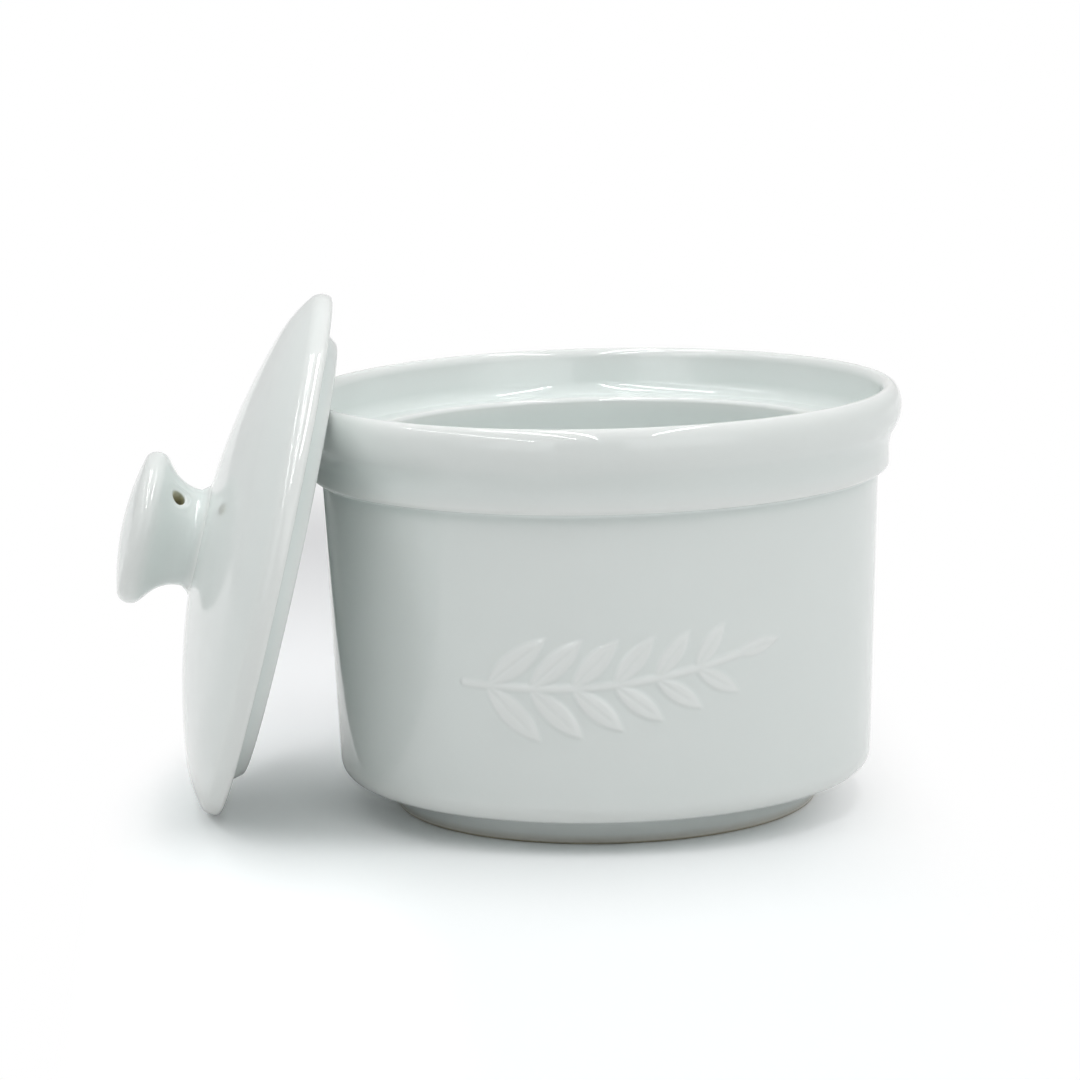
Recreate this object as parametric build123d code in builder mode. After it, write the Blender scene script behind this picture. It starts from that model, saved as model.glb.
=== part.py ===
from build123d import *
import os
from math import acos, atan2, cos, degrees, radians, sin, sqrt, tan

# Porcelain salt cellar: a pot with a collared mouth, and a hollow lid with a hollow knob luted on.
# The lid is off the pot, standing on the table and leaning on the pot's lip.
# All sizes are in millimetres. Z is up, the table is z = 0 and the pot's axis is the Z axis.
# The pot's ornament faces -Y and the lid leans from -X.

# Lid. Heights on the lid and the knob are above the plane of the lid's seat.
lid_radius = 50.4
rim_rise = 1.6
rim_round = 3.0
rim_seat_round = 1.0
shoulder_radius = 30.0
shoulder_ease = 1.2
dome_height = 15.1
lid_wall = 3.6
seat_width = 6.6
ring_width = 4.8
ring_draft = 2.2
ring_depth = 2.8
ring_edge_round = 1.2
ring_root_round = 0.8
recess_rise = 2.5
recess_round = 1.5
void_inset = 9.0
void_round = 0.8

# Knob, round and hollow, seated on the top of the dome
knob_radius = 14.6
knob_rise = 14.5
knob_crown_rise = 4.0
knob_edge_round = 2.4
knob_edge_band = 0.2
flare_rise = 4.4
flare_root_round = 7.0
flare_tip_round = 2.6
neck_radius = 9.3
neck_band = 0.3
neck_spread = 1.1
neck_wall = 3.2
knob_wall = 3.6
knob_roof = 3.7
hollow_rise = 4.7
hollow_round = 2.0
vent_diameter = 2.5
vent_rise = 0.6
vent_bearing = 38.5

# Pot, outside
pot_height = 79.1
lip_width = 2.3
lip_rise = 3.9
collar_curve_rise = 8.2
collar_band = 3.6
collar_wall = 2.5
collar_step = 2.1
collar_edge_round = 1.1
collar_root_round = 0.4
wall_taper = 2.1
base_height = 5.8
base_round = 3.6
foot_inset = 10.6
foot_flare = 0.7
foot_root_round = 1.0
foot_width = 3.4
foot_edge_round = 0.5
foot_recess = 5.0
foot_recess_round = 2.0

# Pot, inside
lip_inner_round = 1.6
lip_inner_drop = 2.0
gallery_depth = 8.7
gallery_draft = 1.0
gallery_round = 3.0
mouth_edge_round = 0.9
neck_band_depth = 7.9
neck_band_round = 3.0
shoulder_drop = 9.5
shoulder_round = 8.0
wall_thickness = 4.4
floor_thickness = 4.8
floor_round = 8.0

# Fits
rim_clearance = 1.9
ring_clearance = 1.2
lean_gap = 0.25
lid_lean = 14.4

# Ornament: one leafy sprig in low relief on the front of the wall
relief_height = 0.45
relief_root = 0.6
sprig_height = 34.5
sprig_length = 57.0
sprig_bow = 2.4
sprig_slope = 5.0
stem_width = 1.3
leaf_pairs = 6
leaf_length = 14.0
leaf_width = 4.5
leaf_angle = 44.0
leaf_taper = 0.62
first_leaf_step = 0.5
tip_overlap = 3.5


def crown_radius(reach, rise, rounding):
    """Radius of the arc that is level on the axis and runs smoothly into a rounded edge.

    The edge's arc has its centre at reach from the axis, and the crown's top is rise above that centre.
    """
    return (reach**2 + rise**2 - rounding**2) / (2 * (rise - rounding))


# Places on the lid and the knob that follow from the sizes above
rim_reach = lid_radius - rim_round
dome_radius = crown_radius(rim_reach, dome_height - rim_rise, rim_round + shoulder_ease)
dome_centre = dome_height - dome_radius
rim_distance = dome_radius - rim_round - shoulder_ease
shoulder_distance = dome_radius - shoulder_radius
shoulder_turn = acos(
    (shoulder_distance**2 + rim_distance**2 - (shoulder_radius - rim_round) ** 2)
    / (2 * shoulder_distance * rim_distance)
)
dome_end = atan2(rim_rise - dome_centre, rim_reach) + shoulder_turn
dome_end_angle = degrees(dome_end)
shoulder_reach = shoulder_distance * cos(dome_end)
shoulder_level = dome_centre + shoulder_distance * sin(dome_end)
shoulder_end_angle = degrees(atan2(rim_rise - shoulder_level, rim_reach - shoulder_reach))
ring_radius = lid_radius - seat_width
ring_inner_radius = ring_radius - ring_width
void_radius = ring_inner_radius - void_inset
void_floor = recess_rise + lid_wall
knob_height = dome_height + knob_rise
knob_edge_height = knob_height - knob_crown_rise
knob_reach = knob_radius - knob_edge_round
knob_crown_radius = crown_radius(knob_reach, knob_crown_rise, knob_edge_round)
knob_crown_centre = knob_height - knob_crown_radius
knob_crown_angle = degrees(atan2(knob_edge_height - knob_crown_centre, knob_reach))
flare_half_turn = atan2(knob_radius - neck_radius, flare_rise) / 2
flare_end_height = knob_edge_height - knob_edge_band - flare_tip_round * tan(flare_half_turn)
flare_start_height = flare_end_height - flare_rise
neck_height = flare_start_height - flare_root_round * tan(flare_half_turn) - neck_band
neck_foot_radius = neck_radius + neck_spread
knob_bore_radius = neck_radius - neck_wall
hollow_radius = knob_radius - knob_wall
hollow_roof_height = knob_height - knob_roof
hollow_shoulder_height = hollow_roof_height - hollow_rise
vent_height = flare_start_height + vent_rise


def dome_level(radius, thickness=0.0):
    """Height of the dome's outer face, or of its inner face under a thickness, at a radius."""
    return dome_centre + sqrt((dome_radius - thickness) ** 2 - radius**2)


def dome_angle(radius, thickness=0.0):
    """Angle of a point of that face about the dome's centre, from the level."""
    return degrees(atan2(dome_level(radius, thickness) - dome_centre, radius))


# Places on the pot: radii follow outwards from the lid, and heights down from the top of the lip
mouth_radius = ring_radius + ring_clearance
gallery_radius = lid_radius + rim_clearance
lip_inner_radius = gallery_radius + gallery_draft
lip_crest_radius = lip_inner_radius + lip_inner_round
lip_radius = lip_crest_radius + lip_width
collar_radius = gallery_radius + collar_wall
wall_top_radius = collar_radius - collar_step
wall_base_radius = wall_top_radius - wall_taper
foot_radius = wall_base_radius - foot_inset
foot_inner_radius = foot_radius - foot_width
lip_belly_height = pot_height - lip_rise
collar_curve_height = lip_belly_height - collar_curve_rise
collar_base_height = collar_curve_height - collar_band
collar_middle = (
    (collar_radius + lip_radius) / 2,
    (collar_curve_height + lip_belly_height) / 2,
)
ledge_height = pot_height - gallery_depth
neck_band_height = ledge_height - neck_band_depth
shoulder_height = neck_band_height - shoulder_drop
floor_height = foot_recess + floor_thickness
wall_slope = wall_taper / (collar_base_height - base_height)


def wall_radius(height):
    """Radius of the pot's outer wall at a height."""
    return wall_base_radius + wall_slope * (height - base_height)


# The lid stands on its seat's outer edge and leans until the flat of its recess meets the pot's lip
lean_cos = cos(radians(lid_lean))
lean_sin = sin(radians(lid_lean))
lip_reach = (
    lip_crest_radius * lean_cos
    + lip_belly_height * lean_sin
    + sqrt((lip_width * lean_cos) ** 2 + (lip_rise * lean_sin) ** 2)
)
lid_z = (lid_radius - rim_seat_round) * lean_cos + rim_seat_round * (1 - lean_sin)
lid_x = -(lip_reach + lean_gap - recess_rise - lid_z * lean_sin) / lean_cos
lid_axis = Vector(-lean_cos, 0, lean_sin)
lid_upwards = Vector(lean_sin, 0, lean_cos)
lid_origin = Vector(lid_x, 0, lid_z)
lid_section = Plane(origin=lid_origin, x_dir=lid_upwards, z_dir=(0, -1, 0))
lid_turn = Axis(lid_origin, lid_axis)


# Ornament: the part of a thin band round the wall that lies within the sprig's outline
with BuildPart() as ornament:
    with BuildSketch(Plane.XZ):
        with BuildLine():
            band_low = sprig_height - leaf_length
            band_high = sprig_height + leaf_length
            Polyline(
                (wall_radius(band_low) - relief_root, band_low),
                (wall_radius(band_low) + relief_height, band_low),
                (wall_radius(band_high) + relief_height, band_high),
                (wall_radius(band_high) - relief_root, band_high),
                close=True,
            )
        make_face()
    revolve(axis=Axis.Z)
    with BuildSketch(Plane.XZ):
        with BuildLine():
            stem_start = (-sprig_length / 2, sprig_height - sprig_slope / 2)
            stem_reach = sprig_length / 2 - leaf_length * leaf_taper + tip_overlap
            stem_end = (stem_reach, sprig_height + sprig_slope / 2)
            stem = SagittaArc(stem_start, stem_end, -sprig_bow)
        trace(line_width=stem_width)
        tip_share = 1 - tip_overlap / stem.length
        for pair in range(leaf_pairs + 1):
            step = (pair + first_leaf_step) / (leaf_pairs + first_leaf_step)
            growth = 1 - (1 - leaf_taper) * step
            root = stem @ (step * tip_share)
            course = stem % (step * tip_share)
            heading = degrees(atan2(course.Y, course.X))
            leaf_tip = (leaf_length * growth, 0)
            leaf_belly = leaf_width * growth / 2
            turns = (leaf_angle, -leaf_angle) if pair < leaf_pairs else (0,)
            for turn in turns:
                with BuildLine(Plane.XY) as leaf:
                    SagittaArc((0, 0), leaf_tip, leaf_belly)
                    SagittaArc(leaf_tip, (0, 0), leaf_belly)
                with Locations(Location((root.X, root.Y), heading + turn)):
                    add(make_face(leaf.line.edges(), mode=Mode.PRIVATE))
    extrude(amount=lip_radius, mode=Mode.INTERSECT)


# Pot: the whole casting, with the ledge that carries the lid inside its collar
with BuildPart() as pot:
    with BuildSketch(Plane.XZ):
        with BuildLine():
            FilletPolyline(
                (0, foot_recess),
                (foot_inner_radius, foot_recess),
                (foot_inner_radius, 0),
                (foot_radius, 0),
                (foot_radius + foot_flare, base_height),
                (wall_base_radius, base_height),
                (wall_top_radius, collar_base_height),
                (collar_radius, collar_base_height),
                (collar_radius, collar_curve_height),
                radius=[
                    foot_recess_round,
                    foot_edge_round,
                    foot_edge_round,
                    foot_root_round,
                    base_round,
                    collar_root_round,
                    collar_edge_round,
                ],
            )
            TangentArc((collar_radius, collar_curve_height), collar_middle, tangent=(0, 1))
            TangentArc((lip_radius, lip_belly_height), collar_middle, tangent=(0, -1))
            EllipticalCenterArc(
                (lip_crest_radius, lip_belly_height), lip_width, lip_rise, start_angle=0, arc_size=90
            )
            EllipticalCenterArc(
                (lip_crest_radius, pot_height - lip_inner_drop),
                lip_inner_round,
                lip_inner_drop,
                start_angle=90,
                arc_size=90,
            )
            FilletPolyline(
                (lip_inner_radius, pot_height - lip_inner_drop),
                (gallery_radius, ledge_height),
                (mouth_radius, ledge_height),
                (mouth_radius, neck_band_height),
                (wall_radius(shoulder_height) - wall_thickness, shoulder_height),
                (wall_radius(floor_height) - wall_thickness, floor_height),
                (0, floor_height),
                radius=[gallery_round, mouth_edge_round, neck_band_round, shoulder_round, floor_round],
            )
            Line((0, floor_height), (0, foot_recess))
        make_face()
    revolve(axis=Axis.Z)
    add(ornament.part)
pot.part.label = "pot"


# Lid: dome, shoulder, rim, seat, tapered locating ring and flat underside in one hollow casting,
# open under the knob
with BuildPart() as lid:
    with BuildSketch(lid_section):
        with BuildLine():
            bore_angle = dome_angle(knob_bore_radius)
            CenterArc((0, dome_centre), dome_radius, bore_angle, dome_end_angle - bore_angle)
            CenterArc(
                (shoulder_reach, shoulder_level),
                shoulder_radius,
                dome_end_angle,
                shoulder_end_angle - dome_end_angle,
            )
            CenterArc((rim_reach, rim_rise), rim_round, shoulder_end_angle, -shoulder_end_angle)
            FilletPolyline(
                (lid_radius, rim_rise),
                (lid_radius, 0),
                (ring_radius, 0),
                (ring_radius - ring_draft, -ring_depth),
                (ring_inner_radius, -ring_depth),
                (ring_inner_radius, recess_rise),
                (0, recess_rise),
                radius=[
                    rim_seat_round,
                    ring_root_round,
                    ring_edge_round,
                    ring_edge_round,
                    recess_round,
                ],
            )
            Line((0, recess_rise), (0, void_floor))
            FilletPolyline(
                (0, void_floor),
                (void_radius, void_floor),
                (void_radius, dome_level(void_radius, lid_wall)),
                radius=void_round,
            )
            void_angle = dome_angle(void_radius, lid_wall)
            drain_angle = dome_angle(knob_bore_radius, lid_wall)
            CenterArc((0, dome_centre), dome_radius - lid_wall, void_angle, drain_angle - void_angle)
            Line(
                (knob_bore_radius, dome_level(knob_bore_radius, lid_wall)),
                (knob_bore_radius, dome_level(knob_bore_radius)),
            )
        make_face()
    revolve(axis=lid_turn)
lid.part.label = "lid"


# Knob: a hollow casting whose foot follows the dome, with a vent pierced through its neck
vent_side = lid_upwards * cos(radians(vent_bearing)) + Vector(0, -1, 0) * sin(radians(vent_bearing))
vent_plane = Plane(origin=lid_origin + lid_axis * vent_height, x_dir=lid_axis, z_dir=vent_side)
with BuildPart() as knob:
    with BuildSketch(lid_section):
        with BuildLine():
            foot_angle = dome_angle(neck_foot_radius)
            bore_angle = dome_angle(knob_bore_radius)
            CenterArc((0, dome_centre), dome_radius, foot_angle, bore_angle - foot_angle)
            FilletPolyline(
                (knob_bore_radius, dome_level(knob_bore_radius)),
                (knob_bore_radius, hollow_shoulder_height),
                (hollow_radius, hollow_roof_height),
                (0, hollow_roof_height),
                radius=hollow_round,
            )
            Line((0, hollow_roof_height), (0, knob_height))
            CenterArc(
                (0, knob_crown_centre), knob_crown_radius, knob_crown_angle, 90 - knob_crown_angle
            )
            CenterArc((knob_reach, knob_edge_height), knob_edge_round, 0, knob_crown_angle)
            FilletPolyline(
                (knob_radius, knob_edge_height),
                (knob_radius, flare_end_height),
                (neck_radius, flare_start_height),
                (neck_radius, neck_height),
                radius=[flare_tip_round, flare_root_round],
            )
            TangentArc(
                (neck_radius, neck_height),
                (neck_foot_radius, dome_level(neck_foot_radius)),
                tangent=(0, -1),
            )
        make_face()
    revolve(axis=lid_turn)
    with BuildSketch(vent_plane):
        Circle(vent_diameter / 2)
    extrude(amount=knob_radius, mode=Mode.SUBTRACT)
knob.part.label = "knob"


os.makedirs("parts", exist_ok=True)
export_step(pot.part, "parts/pot.step")
export_step(lid.part, "parts/lid.step")
export_step(knob.part, "parts/knob.step")
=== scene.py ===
from math import acos, atan2, cos, degrees, pi, radians, sin, sqrt, tan

import bpy
import numpy as np
from mathutils import Matrix, Vector


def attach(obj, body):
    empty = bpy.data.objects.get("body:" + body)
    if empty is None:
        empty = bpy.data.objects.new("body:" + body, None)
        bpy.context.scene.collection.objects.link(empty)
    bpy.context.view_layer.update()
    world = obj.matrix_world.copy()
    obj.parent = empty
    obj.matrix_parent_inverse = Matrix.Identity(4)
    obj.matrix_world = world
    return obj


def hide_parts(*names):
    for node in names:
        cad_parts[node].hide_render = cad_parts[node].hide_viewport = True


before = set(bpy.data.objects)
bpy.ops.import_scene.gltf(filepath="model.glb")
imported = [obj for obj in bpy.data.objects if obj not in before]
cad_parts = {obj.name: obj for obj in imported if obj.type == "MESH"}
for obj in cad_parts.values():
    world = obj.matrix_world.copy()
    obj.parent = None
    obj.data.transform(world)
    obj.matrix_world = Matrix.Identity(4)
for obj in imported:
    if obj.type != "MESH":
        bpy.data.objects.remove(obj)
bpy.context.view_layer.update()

# Glazed porcelain salt cellar. Sizes are in millimetres until a mesh is made, as in the CAD model.
MM = 0.001

# Lid and knob, heights above the plane of the lid's seat
lid_radius = 50.4
rim_rise = 1.6
rim_round = 3.0
rim_seat_round = 1.0
shoulder_radius = 30.0
shoulder_ease = 1.2
dome_height = 15.1
lid_wall = 3.6
ring_radius = 43.8
ring_inner_radius = 39.0
ring_draft = 2.2
ring_depth = 2.8
recess_rise = 2.5
void_radius = 30.0
void_floor = 6.1
lid_lean = 14.4
knob_radius = 14.6
knob_height = 29.6
knob_edge_height = 25.6
knob_edge_round = 2.4
flare_end_height = 24.18
flare_start_height = 19.78
neck_radius = 9.3
neck_height = 16.2
neck_foot_radius = 10.4
bore_radius = 6.1
hollow_radius = 11.0
hollow_roof_height = 25.9
hollow_shoulder_height = 21.2
vent_radius = 1.25
vent_height = 20.38
vent_bearing = -38.5

# Pot
pot_height = 79.1
lip_crest_radius = 54.9
lip_width = 2.3
lip_rise = 3.9
lip_inner_round = 1.6
lip_inner_drop = 2.0
collar_radius = 54.8
collar_curve_height = 67.0
collar_base_height = 63.4
wall_top_radius = 52.7
wall_base_radius = 50.6
base_height = 5.8
foot_radius = 40.0
foot_inner_radius = 36.6
foot_flare = 0.7
foot_recess = 5.0
gallery_radius = 52.3
ledge_height = 70.4
mouth_radius = 45.0
neck_band_height = 62.5
shoulder_height = 53.0
floor_height = 9.8
wall_thickness = 4.4
lean_gap = 0.25

# Sprig
relief_height = 0.45
sprig_height = 34.5
sprig_length = 57.0
sprig_bow = 2.4
sprig_slope = 5.0
stem_width = 1.3
leaf_pairs = 6
leaf_length = 14.0
leaf_width = 4.5
leaf_angle = 44.0
leaf_taper = 0.62
first_leaf_step = 0.5
tip_overlap = 3.5


def arc(centre, radii, start, end, steps):
    """Points of an elliptical arc between two angles in degrees."""
    turn = np.radians(np.linspace(start, end, steps + 1))
    return np.stack([centre[0] + radii[0] * np.cos(turn), centre[1] + radii[1] * np.sin(turn)], 1)


def rounded(points, rounds, steps=10):
    """A chain of straight runs whose corners are rounded to the given radii."""
    points = np.array(points, float)
    chain = [points[:1]]
    for before, corner, after, rounding in zip(points, points[1:], points[2:], rounds):
        back = (before - corner) / np.linalg.norm(before - corner)
        ahead = (after - corner) / np.linalg.norm(after - corner)
        half = acos(np.clip(back @ ahead, -1, 1)) / 2
        middle = (back + ahead) / np.linalg.norm(back + ahead)
        centre = corner + middle * rounding / sin(half)
        spoke = corner + back * rounding / tan(half) - centre
        side = 1 if back[1] * ahead[0] - back[0] * ahead[1] > 0 else -1
        turn = side * (pi - 2 * half) * np.arange(steps + 1) / steps
        swung = np.stack(
            [spoke[0] * np.cos(turn) - spoke[1] * np.sin(turn),
             spoke[0] * np.sin(turn) + spoke[1] * np.cos(turn)], 1)
        chain.append(centre + swung)
    chain.append(points[-1:])
    return np.concatenate(chain)


def spread(chain, longest):
    """The chain with its runs cut into steps no longer than longest, a length or a function of a point."""
    points = [chain[0]]
    for start, end in zip(chain, chain[1:]):
        length = np.linalg.norm(end - start)
        if length < 1e-4:
            continue
        limit = longest((start + end) / 2) if callable(longest) else longest
        for k in range(1, int(np.ceil(length / limit)) + 1):
            points.append(start + (end - start) * k / np.ceil(length / limit))
    return np.array(points)


def edge_marks(profile, reach=1.1):
    """How sharply the profile turns near each point: 1 on an outer right angle, -1 in an inner one."""
    steps = np.diff(profile, axis=0)
    heading = np.unwrap(np.arctan2(steps[:, 1], steps[:, 0]))
    turn = np.concatenate([[0], np.diff(heading), [0]])
    place = np.concatenate([[0], np.cumsum(np.linalg.norm(steps, axis=1))])
    near = np.exp(-((place[:, None] - place[None, :]) / reach) ** 2 / 2)
    return np.clip(near @ turn / (pi / 2), -1, 1)


def lathe(profile, angles):
    """Vertices and faces of a profile of (radius, height) turned about the axis, where both its ends lie."""
    rings = profile[1:-1]
    m = len(angles)
    n = len(rings)
    body = np.empty((n, m, 3))
    body[:, :, 0] = rings[:, :1] * np.cos(angles)
    body[:, :, 1] = rings[:, :1] * np.sin(angles)
    body[:, :, 2] = rings[:, 1:]
    poles = np.array([[0, 0, profile[0][1]], [0, 0, profile[-1][1]]])
    vertices = np.concatenate([poles[:1], body.reshape(-1, 3), poles[1:]])
    row, column = np.meshgrid(np.arange(n - 1), np.arange(m), indexing="ij")
    low = 1 + row * m + column
    low_next = 1 + row * m + (column + 1) % m
    quads = np.stack([low, low_next, low_next + m, low + m], 2).reshape(-1, 4)
    first = 1 + np.arange(m)
    first_next = 1 + (np.arange(m) + 1) % m
    last = first + (n - 1) * m
    last_next = first_next + (n - 1) * m
    caps = [(0, b, a) for a, b in zip(first.tolist(), first_next.tolist())]
    caps += [(1 + n * m, a, b) for a, b in zip(last.tolist(), last_next.tolist())]
    return vertices, quads, caps


def marks_of(columns, values):
    """A value per profile point, repeated round the lathe's rings."""
    return np.concatenate([values[:1], np.repeat(values[1:-1], columns), values[-1:]])


def crown_radius(reach, rise, rounding):
    """Radius of an arc level on the axis that runs smoothly into an edge rounded about reach."""
    return (reach**2 + rise**2 - rounding**2) / (2 * (rise - rounding))


# Sprig: distance from a point of the front view to the outline, negative inside
stem_start = np.array([-sprig_length / 2, sprig_height - sprig_slope / 2])
stem_end = np.array(
    [sprig_length / 2 - leaf_length * leaf_taper + tip_overlap, sprig_height + sprig_slope / 2])
stem_chord = stem_end - stem_start
stem_span = np.linalg.norm(stem_chord)
stem_arc_radius = (stem_span**2 / 4 + sprig_bow**2) / (2 * sprig_bow)
stem_up = np.array([-stem_chord[1], stem_chord[0]]) / stem_span
stem_centre = (stem_start + stem_end) / 2 + stem_up * (stem_arc_radius - sprig_bow)
stem_turn = 2 * np.arcsin(stem_span / 2 / stem_arc_radius)
stem_first = atan2(*(stem_start - stem_centre)[::-1])


def stem_at(share):
    """Point and heading of the stem at a share of its length."""
    turn = stem_first + stem_turn * share
    point = stem_centre + stem_arc_radius * np.array([cos(turn), sin(turn)])
    return point, turn + pi / 2


def sprig_relief(x, z):
    """Height of the sprig's relief over the wall, from 0 to 1, at points of the front view."""
    away = np.hypot(x - stem_centre[0], z - stem_centre[1])
    along = (np.arctan2(z - stem_centre[1], x - stem_centre[0]) - stem_first + pi) % (2 * pi) - pi
    past = np.maximum(np.maximum(-along, along - stem_turn), 0) * stem_arc_radius
    inside = stem_width / 2 - np.hypot(away - stem_arc_radius, past)
    height = 0.8 * rise(inside)
    tip_share = 1 - tip_overlap / (stem_arc_radius * stem_turn)
    for pair in range(leaf_pairs + 1):
        step = (pair + first_leaf_step) / (leaf_pairs + first_leaf_step)
        growth = 1 - (1 - leaf_taper) * step
        root, heading = stem_at(step * tip_share)
        length = leaf_length * growth
        belly = leaf_width * growth / 2
        bulge = (length**2 / 4 + belly**2) / (2 * belly)
        for turn in (leaf_angle, -leaf_angle) if pair < leaf_pairs else (0,):
            course = heading + radians(turn)
            u = (x - root[0]) * cos(course) + (z - root[1]) * sin(course)
            v = -(x - root[0]) * sin(course) + (z - root[1]) * cos(course)
            within = bulge - np.hypot(u - length / 2, np.abs(v) + bulge - belly)
            vein = np.exp(-(v / 0.28) ** 2) * np.clip((length * 0.86 - u) / 2, 0, 1)
            crown = 0.82 + 0.18 * np.clip(within / belly, 0, 1) - 0.34 * vein
            height = np.maximum(height, rise(within) * crown)
    return height


def rise(inside, softness=0.42):
    """A soft step from 0 outside an outline to 1 inside it."""
    share = np.clip(inside / (2 * softness) + 0.5, 0, 1)
    return share * share * (3 - 2 * share)


def wall_radius(height):
    """Radius of the pot's outer wall at a height."""
    taper = (wall_top_radius - wall_base_radius) / (collar_base_height - base_height)
    return wall_base_radius + taper * (height - base_height)


# Pot: one profile from the foot's recess over the lip to the floor inside
lip_radius = lip_crest_radius + lip_width
lip_belly_height = pot_height - lip_rise
curve_rise = (lip_belly_height - collar_curve_height) / 2
curve_shift = (lip_radius - collar_radius) / 2
curve_radius = (curve_rise**2 + curve_shift**2) / (2 * curve_shift)
curve_turn = degrees(np.arcsin(curve_rise / curve_radius))
pot_outside = rounded(
    [
        (0, foot_recess),
        (foot_inner_radius, foot_recess),
        (foot_inner_radius, 0),
        (foot_radius, 0),
        (foot_radius + foot_flare, base_height),
        (wall_base_radius, base_height),
        (wall_top_radius, collar_base_height),
        (collar_radius, collar_base_height),
        (collar_radius, collar_curve_height),
    ],
    [2.0, 0.5, 0.5, 1.1, 3.6, 1.0, 1.1],
)
pot_lip = np.concatenate([
    arc((collar_radius + curve_radius, collar_curve_height), (curve_radius,) * 2, 180, 180 - curve_turn, 12),
    arc((lip_radius - curve_radius, lip_belly_height), (curve_radius,) * 2, -curve_turn, 0, 12)[1:],
    arc((lip_crest_radius, lip_belly_height), (lip_width, lip_rise), 0, 90, 28)[1:],
    arc((lip_crest_radius, pot_height - lip_inner_drop), (lip_inner_round, lip_inner_drop), 90, 180, 18)[1:],
])
pot_inside = rounded(
    [
        (lip_crest_radius - lip_inner_round, pot_height - lip_inner_drop),
        (gallery_radius, ledge_height),
        (mouth_radius, ledge_height),
        (mouth_radius, neck_band_height),
        (wall_radius(shoulder_height) - wall_thickness, shoulder_height),
        (wall_radius(floor_height) - wall_thickness, floor_height),
        (0, floor_height),
    ],
    [3.0, 0.9, 3.0, 8.0, 8.0],
    14,
)
relief_reach = 17
relief_low = sprig_height - relief_reach
relief_high = sprig_height + relief_reach
fine_step = 0.27
coarse_step = 1.6


def pot_step(point):
    """How fine the pot's profile is cut at a point."""
    on_front = point[0] > wall_base_radius - 1 and relief_low < point[1] < relief_high
    return fine_step if on_front else coarse_step


pot_profile = spread(np.concatenate([pot_outside, pot_lip[1:], pot_inside[1:]]), pot_step)
front_reach = radians(39)
front_columns = 268
back_columns = 122
front = np.linspace(-pi / 2 - front_reach, -pi / 2 + front_reach, front_columns)
back = np.linspace(-pi / 2 + front_reach, 3 * pi / 2 - front_reach, back_columns)[1:-1]
pot_angles = np.concatenate([front, back])
pot_vertices, pot_quads, pot_caps = lathe(pot_profile, pot_angles)

reach = np.hypot(pot_vertices[:, 0], pot_vertices[:, 1])
bearing = np.arctan2(pot_vertices[:, 1], pot_vertices[:, 0])
height = pot_vertices[:, 2]
on_wall = (reach > wall_base_radius - 0.5) & (height > relief_low) & (height < relief_high)
on_wall &= pot_vertices[:, 1] < 0
relief = np.zeros(len(pot_vertices))
relief[on_wall] = sprig_relief(pot_vertices[on_wall, 0], height[on_wall])
lift = relief * relief_height

# The fired rim sways a little: waves round the pot, where each starts, and its height
SWAYS = ((2, 0.9, 0.07), (3, 2.1, 0.03), (7, 0.0, 0.012))
sway = sum(high * np.sin(waves * bearing + begins) for waves, begins, high in SWAYS)
lift += sway * np.clip(height / pot_height, 0, 1) ** 2 * (reach > mouth_radius - 4)
pot_vertices[:, 0] += lift * np.cos(bearing)
pot_vertices[:, 1] += lift * np.sin(bearing)
pot_edge = marks_of(len(pot_angles), edge_marks(pot_profile))
bare_height = 0.6
bare_fade = 0.3
pot_bare = np.clip((bare_height - height) / bare_fade, 0, 1) * (reach > foot_inner_radius - 0.4)


# Lid: dome, rim, locating ring and flat underside round an enclosed hollow
rim_reach = lid_radius - rim_round
dome_radius = crown_radius(rim_reach, dome_height - rim_rise, rim_round + shoulder_ease)
dome_centre = dome_height - dome_radius
rim_distance = dome_radius - rim_round - shoulder_ease
shoulder_distance = dome_radius - shoulder_radius
dome_end = atan2(rim_rise - dome_centre, rim_reach) + acos(
    (shoulder_distance**2 + rim_distance**2 - (shoulder_radius - rim_round) ** 2)
    / (2 * shoulder_distance * rim_distance))
shoulder_reach = shoulder_distance * cos(dome_end)
shoulder_level = dome_centre + shoulder_distance * sin(dome_end)
shoulder_end = degrees(atan2(rim_rise - shoulder_level, rim_reach - shoulder_reach))
dome_end = degrees(dome_end)


def dome_level(radius, thickness=0.0):
    """Height of the dome's outer face, or of its inner face under a thickness, at a radius."""
    return dome_centre + sqrt((dome_radius - thickness) ** 2 - radius**2)


def dome_angle(radius, thickness=0.0):
    """Angle of a point of that face about the dome's centre, from the level."""
    return degrees(atan2(dome_level(radius, thickness) - dome_centre, radius))


under_lid = rounded(
    [
        (0, recess_rise),
        (ring_inner_radius, recess_rise),
        (ring_inner_radius, -ring_depth),
        (ring_radius - ring_draft, -ring_depth),
        (ring_radius, 0),
        (lid_radius, 0),
        (lid_radius, rim_rise),
    ],
    [1.6, 1.2, 1.25, 0.9, rim_seat_round],
    12,
)
hollow_lid = rounded(
    [
        (bore_radius, dome_level(bore_radius, lid_wall)),
        (void_radius, dome_level(void_radius, lid_wall)),
        (void_radius, void_floor),
        (0, void_floor),
    ],
    [0.4, 0.8],
)
lid_profile = np.concatenate([
    under_lid,
    arc((rim_reach, rim_rise), (rim_round,) * 2, 0, shoulder_end, 18)[1:],
    arc((shoulder_reach, shoulder_level), (shoulder_radius,) * 2, shoulder_end, dome_end, 22)[1:],
    arc((0, dome_centre), (dome_radius,) * 2, dome_end, dome_angle(bore_radius), 50)[1:],
    hollow_lid,
])
lid_step = 1.5
lid_columns = 300
lid_profile = spread(lid_profile, lid_step)
lid_angles = np.arange(lid_columns) * 2 * pi / lid_columns
lid_vertices, lid_quads, lid_caps = lathe(lid_profile, lid_angles)
lid_edge = marks_of(lid_columns, edge_marks(lid_profile))
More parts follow.
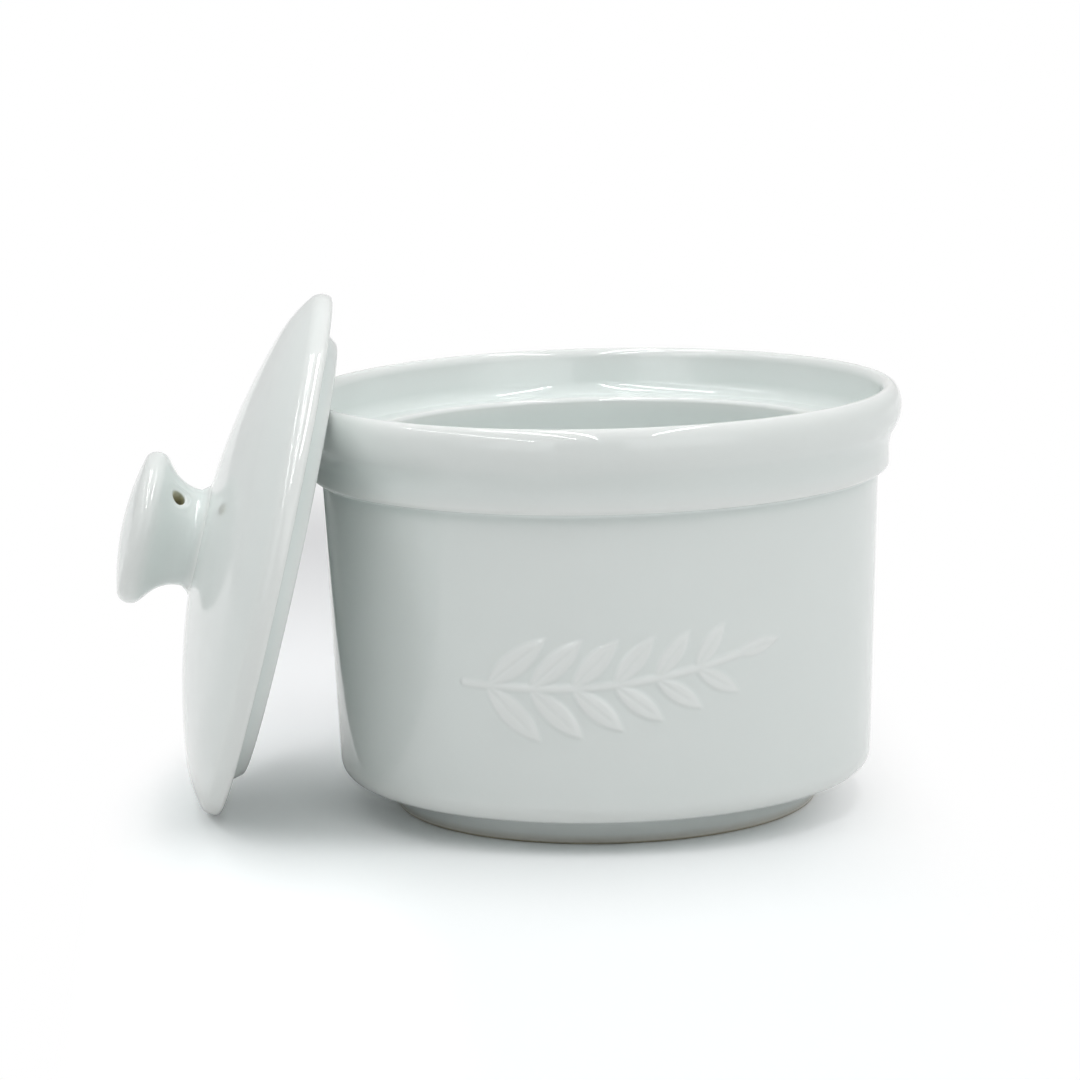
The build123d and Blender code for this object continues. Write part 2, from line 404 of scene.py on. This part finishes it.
lid_reach = np.hypot(lid_vertices[:, 0], lid_vertices[:, 1])
lid_level = lid_vertices[:, 2]
bare_top = 14.2
in_void = (lid_reach < void_radius + 0.1) & (lid_level > void_floor - 0.1) & (lid_level < bare_top)
under_dome = np.hypot(lid_reach, lid_level - dome_centre) < dome_radius - 0.5
lid_bare = (in_void & under_dome).astype(float)

# Knob: hollow, its foot feathered into the dome's glaze, with a vent through its neck
foot_fillet = rounded(
    [
        (neck_radius, neck_height),
        (neck_foot_radius, dome_level(neck_foot_radius)),
        (neck_foot_radius + 3, dome_level(neck_foot_radius + 3)),
    ],
    [1.7],
    12,
)[::-1][1:]
knob_inside = rounded(
    [
        (0, hollow_roof_height),
        (hollow_radius, hollow_roof_height),
        (bore_radius, hollow_shoulder_height),
        (bore_radius, dome_level(bore_radius) - 0.15),
    ],
    [2.0, 2.0],
)
knob_flare = rounded(
    [
        (neck_radius, neck_height),
        (neck_radius, flare_start_height),
        (knob_radius, flare_end_height),
        (knob_radius, knob_edge_height),
    ],
    [7.0, 2.6],
    24,
)
crown = crown_radius(knob_radius - knob_edge_round, knob_height - knob_edge_height, knob_edge_round)
crown_end = degrees(atan2(knob_edge_height - knob_height + crown, knob_radius - knob_edge_round))
knob_top = np.concatenate([
    arc((knob_radius - knob_edge_round, knob_edge_height), (knob_edge_round,) * 2, 0, crown_end, 14)[1:],
    arc((0, knob_height - crown), (crown,) * 2, crown_end, 90, 14)[1:],
])
knob_sole = np.array([[foot_fillet[0][0] + 0.1, dome_level(foot_fillet[0][0]) - 0.15]])
patch_reach = 3.6
patch_rows = 28
patch_columns = 14
knob_columns = 240
knob_step = 0.7


def evened(chain):
    """The chain with even rows between the vent patch's two heights."""
    chain = spread(chain, 0.05)
    falling = chain[0][1] > chain[-1][1]
    heights = np.linspace(vent_height - patch_reach, vent_height + patch_reach, patch_rows + 1)
    order = chain[::-1] if falling else chain
    rows = np.stack([np.interp(heights, order[:, 1], order[:, 0]), heights], 1)
    return rows[::-1] if falling else rows


def with_patch(chain):
    """A chain whose rows across the vent are evened, and the index of the first of them."""
    low, high = vent_height - patch_reach, vent_height + patch_reach
    heights = chain[:, 1]
    keep_first = []
    keep_last = []
    seen = False
    for point in chain:
        if low - 1e-6 <= point[1] <= high + 1e-6:
            seen = True
        elif seen:
            keep_last.append(point)
        else:
            keep_first.append(point)
    rows = evened(chain[np.abs(heights - vent_height) < patch_reach + 2.5])
    return np.concatenate([keep_first, rows, keep_last]), len(keep_first)


inside_chain, inside_row = with_patch(spread(knob_inside, knob_step))
knob_outside = np.concatenate([foot_fillet, knob_flare[1:]])
outside_chain, outside_row = with_patch(spread(knob_outside, knob_step))
knob_profile = np.concatenate([inside_chain, knob_sole, outside_chain, spread(knob_top, knob_step)])
outside_row += len(inside_chain) + len(knob_sole)
knob_angles = np.arange(knob_columns) * 2 * pi / knob_columns
knob_vertices, knob_quads, knob_caps = lathe(knob_profile, knob_angles)


def ring_index(row, column):
    """Index of a lathe vertex by profile row and column."""
    return 1 + (row - 1) * knob_columns + column % knob_columns


def patch_loop(first_row, rows_rise):
    """Vertices round the vent patch, anticlockwise from outside, from its low left corner."""
    low = first_row if rows_rise else first_row + patch_rows
    up = 1 if rows_rise else -1
    side = range(-patch_columns, patch_columns)
    loop = [ring_index(low, c) for c in side]
    loop += [ring_index(low + up * k, patch_columns) for k in range(patch_rows)]
    loop += [ring_index(low + up * patch_rows, -c) for c in side]
    loop += [ring_index(low + up * (patch_rows - k), -patch_columns) for k in range(patch_rows)]
    return loop


def clear_patch(quads, first_row):
    """The quads without those inside the vent patch."""
    cells = {
        ring_index(first_row + k, c)
        for k in range(patch_rows)
        for c in range(-patch_columns, patch_columns)
    }
    return quads[[q not in cells for q in quads[:, 0].tolist()]]


def skin(chain, across, above):
    """Distance of a lathed face from the axis, measured along the vent, at places across and above it."""
    order = chain if chain[0][1] < chain[-1][1] else chain[::-1]
    radius = np.interp(vent_height + above, order[:, 1], order[:, 0])
    return np.sqrt(radius**2 - across**2)


fine_outside = spread(knob_flare, 0.02)
fine_inside = spread(knob_inside[1:], 0.02)
fine_inside = fine_inside[fine_inside[:, 1] < hollow_roof_height - 0.5]
outer_loop = patch_loop(outside_row, True)
inner_loop = patch_loop(inside_row, False)
outer_points = knob_vertices[outer_loop]
inner_points = knob_vertices[inner_loop]
outer_across, outer_above = outer_points[:, 1], outer_points[:, 2] - vent_height
inner_across, inner_above = inner_points[:, 1], inner_points[:, 2] - vent_height
spoke_across = outer_across / np.hypot(outer_across, outer_above)
spoke_above = outer_above / np.hypot(outer_across, outer_above)
mouth_round = 0.42
vent_spread = 1.15
mouth_reach = vent_radius + mouth_round
rings = []
for share in (0.14, 0.3, 0.47, 0.64, 0.8, 0.92, 1.0):
    across = outer_across + (spoke_across * mouth_reach * vent_spread - outer_across) * share
    above = outer_above + (spoke_above * mouth_reach - outer_above) * share
    rings.append(np.stack([skin(fine_outside, across, above), across, vent_height + above], 1))
for turn in np.radians([15, 30, 45, 60, 75, 90]):
    radius = vent_radius + mouth_round * (1 - sin(turn))
    across, above = spoke_across * radius * vent_spread, spoke_above * radius
    deep = skin(fine_outside, across, above) - mouth_round * (1 - cos(turn))
    rings.append(np.stack([deep, across, vent_height + above], 1))
across, above = spoke_across * vent_radius * vent_spread, spoke_above * vent_radius
inner_depth = skin(fine_inside, across, above)
outer_depth = rings[-1][:, 0]
for share in (0.2, 0.4, 0.6, 0.8, 1.0):
    depth = outer_depth + (inner_depth - outer_depth) * share
    rings.append(np.stack([depth, across, vent_height + above], 1))
for share in (0.35, 0.7):
    wide_across = across + (inner_across - across) * share
    wide_above = above + (inner_above - above) * share
    rings.append(
        np.stack([skin(fine_inside, wide_across, wide_above), wide_across, vent_height + wide_above], 1))
start = len(knob_vertices)
loop_size = len(outer_loop)
knob_vertices = np.concatenate([knob_vertices, *rings])
loops = [outer_loop]
loops += [list(range(start + k * loop_size, start + (k + 1) * loop_size)) for k in range(len(rings))]
loops.append(inner_loop)
vent_quads = [
    (wide[k], wide[(k + 1) % loop_size], tight[(k + 1) % loop_size], tight[k])
    for wide, tight in zip(loops, loops[1:])
    for k in range(loop_size)
]
knob_quads = clear_patch(clear_patch(knob_quads, outside_row), inside_row)
knob_faces = knob_quads.tolist() + vent_quads + knob_caps

# Marks of the vent's rings, from the patch's edge over the mouth and down the bore to the hollow
ring_skin = [1] * 12 + [0.5] + [0] * 7
ring_edges = [0] * 6 + [0.25] + [0.6] * 4 + [0.3, 0.1] + [0] * 7
ring_bare = [0] * 11 + [0.25, 0.5, 0.8, 0.95] + [1] * 5


def knob_marks(profile_marks, ring_marks):
    """A value per vertex of the knob, from those of its profile's points and of the vent's rings."""
    turned = marks_of(knob_columns, profile_marks)
    return np.concatenate([turned, np.repeat(ring_marks, loop_size)])


inside_marks = (np.arange(len(knob_profile)) < len(inside_chain)).astype(float)
on_skin = knob_marks(1 - inside_marks, ring_skin)
knob_edge = knob_marks(edge_marks(knob_profile), ring_edges)
knob_bare = knob_marks(inside_marks, ring_bare)

# A low glazed ridge round the vent, highest on its lower side, where the clay was pushed out
ridge_height = 0.30
ridge_reach = 2.35
ridge_width = 0.30
ridge_bearing = radians(-40)
vent_across, vent_above = knob_vertices[:, 1], knob_vertices[:, 2] - vent_height
from_vent = np.hypot(vent_across, vent_above)
ridge_side = 0.5 + 0.5 * np.cos(np.arctan2(vent_above, vent_across) - ridge_bearing)
ridge = ridge_height * np.exp(-((from_vent - ridge_reach) / ridge_width) ** 2) * (0.25 + 0.75 * ridge_side)
ridge *= on_skin * (knob_vertices[:, 0] > 0)
knob_vertices[:, 0] += ridge

# Only the vertices that a face uses
used = np.unique(np.concatenate([np.ravel(knob_quads), np.ravel(vent_quads), np.ravel(knob_caps)]))
place_of = np.zeros(len(knob_vertices), int)
place_of[used] = np.arange(len(used))
knob_faces = [tuple(place_of[v] for v in face) for face in knob_faces]
knob_vertices, knob_edge, knob_bare = knob_vertices[used], knob_edge[used], knob_bare[used]


# Lid and knob are turned from their own axis to where they lean on the pot
lean_cos, lean_sin = cos(radians(lid_lean)), sin(radians(lid_lean))
lip_reach = (
    lip_crest_radius * lean_cos
    + lip_belly_height * lean_sin
    + sqrt((lip_width * lean_cos) ** 2 + (lip_rise * lean_sin) ** 2)
)
lid_z = (lid_radius - rim_seat_round) * lean_cos + rim_seat_round * (1 - lean_sin)
lid_x = -(lip_reach + lean_gap - recess_rise - lid_z * lean_sin) / lean_cos
lid_axis = np.array([-lean_cos, 0, lean_sin])
lid_upwards = np.array([lean_sin, 0, lean_cos])
lid_origin = np.array([lid_x, 0, lid_z])


def leaned(vertices, turn=0.0):
    """Points of the lid's own frame, turned about its axis, in the part's frame."""
    across = np.array([0.0, 1.0, 0.0])
    u = vertices[:, :1] * cos(turn) - vertices[:, 1:2] * sin(turn)
    v = vertices[:, :1] * sin(turn) + vertices[:, 1:2] * cos(turn)
    return lid_origin + u * lid_upwards + v * across + vertices[:, 2:] * lid_axis


# Materials
def node(tree, kind, **inputs):
    """A shader node with some of its inputs set, or linked where the value is a socket."""
    made = tree.nodes.new(kind)
    for name, value in inputs.items():
        socket = made.inputs[int(name[1:])] if name[0] == "_" else made.inputs[name.replace("_", " ")]
        if isinstance(value, bpy.types.NodeSocket):
            tree.links.new(value, socket)
        else:
            socket.default_value = value
    return made


def math(tree, operation, *values, clamp=False):
    """The result of a Math node."""
    made = node(tree, "ShaderNodeMath", **{f"_{k}": v for k, v in enumerate(values)})
    made.operation = operation
    made.use_clamp = clamp
    return made.outputs[0]


def soft_step(tree, value, low, high):
    """0 below low and 1 above high, with a smooth step between them."""
    made = node(tree, "ShaderNodeMapRange", Value=value, From_Min=low, From_Max=high)
    made.interpolation_type = "SMOOTHSTEP"
    return made.outputs["Result"]


def blend(tree, share, first, second):
    """A colour between two colours or colour sockets."""
    made = tree.nodes.new("ShaderNodeMix")
    made.data_type = "RGBA"
    for socket, value in zip((made.inputs[0], made.inputs[6], made.inputs[7]), (share, first, second)):
        if isinstance(value, bpy.types.NodeSocket):
            tree.links.new(value, socket)
        else:
            socket.default_value = value
    return made.outputs[2]


GLAZE = (0.785, 0.832, 0.815, 1)
GLAZE_DEEP = (0.765, 0.818, 0.802, 1)
GLAZE_THIN = (0.830, 0.852, 0.836, 1)
GLAZE_POOLED = (0.690, 0.764, 0.744, 1)
RELIEF = (0.840, 0.872, 0.858, 1)
BISCUIT = (0.520, 0.475, 0.370, 1)
VENT_CLAY = (0.640, 0.610, 0.430, 1)
SPECK = (0.230, 0.190, 0.140, 1)


def glazed(name, seed, unglazed=BISCUIT):
    """Glossy white porcelain glaze: thin on edges, pooled in corners, bare where the mesh says so."""
    material = bpy.data.materials.new(name)
    material.use_nodes = True
    tree = material.node_tree
    shader = tree.nodes["Principled BSDF"]
    place = node(tree, "ShaderNodeTexCoord").outputs["Object"]
    shifted = node(tree, "ShaderNodeVectorMath", _0=place, _1=(seed, seed * 0.7, -seed)).outputs[0]
    marks = {
        mark: node(tree, "ShaderNodeAttribute").outputs["Fac"] for mark in ("edge", "relief", "bare")
    }
    for mark, socket in marks.items():
        socket.node.attribute_name = mark
    cloud = node(tree, "ShaderNodeTexNoise", Vector=shifted, Scale=38, Detail=3, Roughness=0.55)
    colour = blend(tree, cloud.outputs["Fac"], GLAZE, GLAZE_DEEP)
    thin = math(tree, "MULTIPLY", marks["edge"], 0.85, clamp=True)
    colour = blend(tree, thin, colour, GLAZE_THIN)
    pooled = math(tree, "MULTIPLY", marks["edge"], -0.8, clamp=True)
    colour = blend(tree, pooled, colour, GLAZE_POOLED)
    colour = blend(tree, math(tree, "MULTIPLY", marks["relief"], 0.9, clamp=True), colour, RELIEF)
    cells = node(tree, "ShaderNodeTexVoronoi", Vector=shifted, Scale=95)
    rare = node(tree, "ShaderNodeSeparateColor", _0=cells.outputs["Color"]).outputs[0]
    dot = math(tree, "LESS_THAN", cells.outputs["Distance"], 0.026)
    speck = math(tree, "MULTIPLY", dot, math(tree, "GREATER_THAN", rare, 0.965))
    colour = blend(tree, math(tree, "MULTIPLY", speck, 0.75), colour, SPECK)
    grain = node(tree, "ShaderNodeTexNoise", Vector=shifted, Scale=900, Detail=4, Roughness=0.6)
    bare_edge = math(tree, "MULTIPLY_ADD", grain.outputs["Fac"], 0.5, -0.25)
    bare = math(tree, "ADD", marks["bare"], math(tree, "MULTIPLY", bare_edge, marks["bare"]), clamp=True)
    colour = blend(tree, bare, colour, unglazed)
    tree.links.new(colour, shader.inputs["Base Color"])
    polish = math(tree, "MULTIPLY_ADD", cloud.outputs["Fac"], 0.02, 0.012)
    rough = math(tree, "MULTIPLY_ADD", bare, 0.6, polish, clamp=True)
    tree.links.new(rough, shader.inputs["Roughness"])
    shader.inputs["IOR"].default_value = 1.5
    peel = node(tree, "ShaderNodeTexNoise", Vector=shifted, Scale=420, Detail=1.5, Roughness=0.5)
    peel_bump = node(tree, "ShaderNodeBump", Strength=0.02, Distance=0.0002, Height=peel.outputs["Fac"])
    grain_depth = math(tree, "MULTIPLY", grain.outputs["Fac"], bare)
    bump = node(
        tree, "ShaderNodeBump", Strength=0.5, Distance=0.0002, Height=grain_depth,
        Normal=peel_bump.outputs["Normal"])
    tree.links.new(bump.outputs["Normal"], shader.inputs["Normal"])
    return material


def make(name, vertices, faces, marks, body, material):
    """A smooth piece that replaces the CAD node of the same name and rides on a body."""
    mesh = bpy.data.meshes.new(f"{name}_glazed")
    mesh.from_pydata((vertices * MM).tolist(), [], faces)
    mesh.polygons.foreach_set("use_smooth", [True] * len(mesh.polygons))
    for mark, values in marks.items():
        layer = mesh.attributes.new(mark, "FLOAT", "POINT")
        layer.data.foreach_set("value", np.asarray(values, np.float32))
    mesh.materials.append(material)
    mesh.update()
    piece = bpy.data.objects.new(f"{name}_glazed", mesh)
    bpy.context.scene.collection.objects.link(piece)
    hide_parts(name)
    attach(piece, body)


make(
    "pot", pot_vertices, pot_quads.tolist() + pot_caps,
    {"edge": pot_edge, "relief": relief, "bare": pot_bare}, "pot", glazed("pot_glaze", 0.0))
make(
    "lid", leaned(lid_vertices), lid_quads.tolist() + lid_caps,
    {"edge": lid_edge, "relief": lid_edge * 0, "bare": lid_bare}, "lid",
    glazed("lid_glaze", 0.37))
make(
    "knob", leaned(knob_vertices, radians(vent_bearing)), knob_faces,
    {"edge": knob_edge, "relief": knob_edge * 0, "bare": knob_bare}, "lid",
    glazed("knob_glaze", 0.81, VENT_CLAY))

# Floor, a pale sheet that shows the shadow; for the camera it is painted darker behind the object, a painted
# shade for the dimmer light there
floor_mesh = bpy.data.meshes.new("floor")
FLOOR_REACH = 4
FLOOR_DROP = 2e-5
corners = [(x * FLOOR_REACH, y * FLOOR_REACH, -FLOOR_DROP) for x, y in ((-1, -1), (1, -1), (1, 1), (-1, 1))]
floor_mesh.from_pydata(corners, [], [(0, 1, 2, 3)])
floor = bpy.data.objects.new("floor", floor_mesh)
bpy.context.scene.collection.objects.link(floor)
paper = bpy.data.materials.new("paper")
paper.use_nodes = True
tree = paper.node_tree
light_path = node(tree, "ShaderNodeLightPath")
spot = node(tree, "ShaderNodeSeparateXYZ", _0=node(tree, "ShaderNodeTexCoord").outputs["Object"])
# Painted shade: the camera sees the sheet darker behind the object, standing in for less light falling there
behind = soft_step(tree, spot.outputs["Y"], 0.0, 0.10)
seen = blend(tree, behind, (0.94, 0.965, 0.97, 1), (0.85, 0.855, 0.865, 1))
sheet = blend(
    tree, light_path.outputs["Is Glossy Ray"], (0.84, 0.84, 0.84, 1), (0.90, 0.90, 0.90, 1))
sheet = blend(tree, light_path.outputs["Is Camera Ray"], sheet, seen)

# Away from the object the sheet is white where it is seen or mirrored, and its shadow fades out there
leftward = math(tree, "SUBTRACT", math(tree, "MULTIPLY", behind, 0.018), spot.outputs["X"])
clear = soft_step(tree, spot.outputs["X"], 0.025, 0.068)
clear = math(tree, "MAXIMUM", clear, soft_step(tree, leftward, 0.078, 0.098))
clear = math(tree, "MAXIMUM", clear, soft_step(tree, spot.outputs["Y"], 0.28, 0.45))
direct = math(tree, "MAXIMUM", light_path.outputs["Is Camera Ray"], light_path.outputs["Is Glossy Ray"])
clear = math(tree, "MULTIPLY", clear, direct)
matt = node(tree, "ShaderNodeBsdfDiffuse", Color=sheet)
white = node(tree, "ShaderNodeEmission", Color=(1, 1, 1, 1), Strength=1.0)

# The shadow between lid and pot is lifted a little for the camera
GAP_LIFT = 0.11
beside = math(tree, "SUBTRACT", 1.0, soft_step(tree, spot.outputs["X"], -0.055, -0.030))
in_gap = math(
    tree, "MULTIPLY", beside, math(tree, "SUBTRACT", 1.0, soft_step(tree, spot.outputs["Y"], 0.10, 0.30)))
glow = math(tree, "MULTIPLY", math(tree, "MULTIPLY", in_gap, GAP_LIFT), light_path.outputs["Is Camera Ray"])
lift = node(tree, "ShaderNodeEmission", Color=(0.95, 1, 1, 1), Strength=glow)
lifted = node(tree, "ShaderNodeAddShader", _0=matt.outputs[0], _1=lift.outputs[0])
covered = node(tree, "ShaderNodeMixShader", _0=clear, _1=lifted.outputs[0], _2=white.outputs[0])
tree.links.new(covered.outputs[0], tree.nodes["Material Output"].inputs["Surface"])
tree.nodes.remove(tree.nodes["Principled BSDF"])
floor_mesh.materials.append(paper)

# Soft studio light: an even pale room, brightest behind the object and a little brighter at the sides
world = bpy.data.worlds.new("room")
bpy.context.scene.world = world
world.use_nodes = True
tree = world.node_tree
tree.nodes.clear()
ROOM = {"even": 0.200, "back": 0.43, "right": 0.13, "left": 0.08}
where = node(tree, "ShaderNodeTexCoord").outputs["Generated"]
sides = node(tree, "ShaderNodeSeparateXYZ", _0=where)
level = ROOM["even"]
for side, axis, sign in (("back", "Y", 1), ("right", "X", 1), ("left", "X", -1)):
    towards = math(tree, "MULTIPLY", sides.outputs[axis], float(sign), clamp=True)
    level = math(tree, "MULTIPLY_ADD", towards, ROOM[side], level)


# What the glaze mirrors: a white tent, dimmer behind, its front wall brighter, with a dark gap in it
GAP = {"middle": -0.14, "dark_to": 0.23, "bright_from": 0.26}
frontward = math(tree, "MULTIPLY", sides.outputs["Y"], -1.0)
aside = math(tree, "DIVIDE", sides.outputs["X"], math(tree, "MAXIMUM", frontward, 0.05))
from_gap = math(tree, "ABSOLUTE", math(tree, "SUBTRACT", aside, GAP["middle"]))
low_front = math(
    tree, "MULTIPLY", soft_step(tree, frontward, 0.55, 0.75),
    math(tree, "SUBTRACT", 1.0, soft_step(tree, sides.outputs["Z"], 0.40, 0.60)))
past_gap = soft_step(tree, from_gap, GAP["dark_to"], GAP["bright_from"])
panel = math(tree, "MULTIPLY_ADD", past_gap, 1.5, -0.45)
tent = math(tree, "MULTIPLY_ADD", soft_step(tree, sides.outputs["Y"], 0.2, 0.7), -0.14, 0.85)
tent = math(tree, "MULTIPLY_ADD", low_front, panel, tent)

# Thin tubes overhead, as bright lines in the glaze: where each runs, and its two ends
TUBE_LINES = ((0.31, -0.80, 0.35), (-0.10, -1.15, 0.40), (-0.28, -1.10, 0.46), (-0.87, -1.50, 0.46))
above = math(tree, "MAXIMUM", sides.outputs["Z"], 0.05)
tube_across = math(tree, "DIVIDE", sides.outputs["X"], above)
tube_along = math(tree, "DIVIDE", sides.outputs["Y"], above)
TUBE_HALF_WIDTH = 0.012
TUBE_GLOW = 38.0
TUBE_LOWEST = 0.06
for line_at, near_end, far_end in TUBE_LINES:
    from_line = math(tree, "ABSOLUTE", math(tree, "SUBTRACT", tube_across, line_at))
    tube = math(tree, "LESS_THAN", from_line, TUBE_HALF_WIDTH)
    tube = math(tree, "MULTIPLY", tube, math(tree, "GREATER_THAN", tube_along, near_end))
    tube = math(tree, "MULTIPLY", tube, math(tree, "LESS_THAN", tube_along, far_end))
    tube = math(tree, "MULTIPLY", tube, math(tree, "GREATER_THAN", sides.outputs["Z"], TUBE_LOWEST))
    tent = math(tree, "MULTIPLY_ADD", tube, TUBE_GLOW, tent)
light_path = node(tree, "ShaderNodeLightPath")
room = node(tree, "ShaderNodeBackground", Color=(1, 1, 1, 1), Strength=level)
mirrored = node(tree, "ShaderNodeBackground", Color=(1, 1, 1, 1), Strength=tent)
white = node(tree, "ShaderNodeBackground", Color=(1, 1, 1, 1), Strength=1.0)
glossy = node(
    tree, "ShaderNodeMixShader", _0=light_path.outputs["Is Glossy Ray"], _1=room.outputs[0],
    _2=mirrored.outputs[0])
shown = node(
    tree, "ShaderNodeMixShader", _0=light_path.outputs["Is Camera Ray"], _1=glossy.outputs[0],
    _2=white.outputs[0])
output = tree.nodes.new("ShaderNodeOutputWorld")
tree.links.new(shown.outputs[0], output.inputs["Surface"])


def softbox(name, place, aim, size, power):
    """An oblong area lamp that faces a point and lights the glaze without showing in it."""
    lamp = bpy.data.lights.new(name, "AREA")
    lamp.shape = "RECTANGLE"
    lamp.size, lamp.size_y = size
    lamp.energy = power
    made = bpy.data.objects.new(name, lamp)
    made.location = place
    made.rotation_euler = (Vector(aim) - Vector(place)).to_track_quat("-Z", "Y").to_euler()
    made.visible_glossy = False
    bpy.context.scene.collection.objects.link(made)


LAMPS = {"tubes": 1.02, "overhead": 0.88, "window_left": 0.62, "window_right": 1.46}
for place, across in enumerate((0.18, -0.155, -0.48)):
    softbox(f"tube_{place}", (across, -0.25, 0.62), (across, -0.25, 0), (0.04, 1.1), LAMPS["tubes"])
softbox("overhead", (0.05, 0.02, 0.75), (0, 0, 0.05), (0.6, 0.5), LAMPS["overhead"])
softbox("window_left", (-0.55, -0.25, 0.55), (0, 0, 0.04), (0.22, 0.5), LAMPS["window_left"])
softbox("window_right", (0.6, -0.35, 0.5), (0, 0, 0.04), (0.3, 0.5), LAMPS["window_right"])

# Camera at the photograph's place
yaw, pitch, roll = 0.062031, 0.175425, -0.023515
forward = Vector((sin(yaw) * cos(pitch), cos(yaw) * cos(pitch), -sin(pitch)))
level_right = forward.cross(Vector((0, 0, 1))).normalized()
level_up = level_right.cross(forward)
right = level_right * cos(roll) + level_up * sin(roll)
up = level_up * cos(roll) - level_right * sin(roll)
camera_data = bpy.data.cameras.new("camera")
camera_data.sensor_width = 36
camera_data.lens = 139.84
camera_data.clip_start, camera_data.clip_end = 0.01, 20
camera = bpy.data.objects.new("camera", camera_data)
placement = Matrix((right, up, -forward)).transposed().to_4x4()
placement.translation = Vector((-0.060363, -0.784057, 0.189134))
camera.matrix_world = placement
bpy.context.scene.collection.objects.link(camera)
bpy.context.scene.camera = camera
bpy.context.scene.view_settings.view_transform = "Standard"
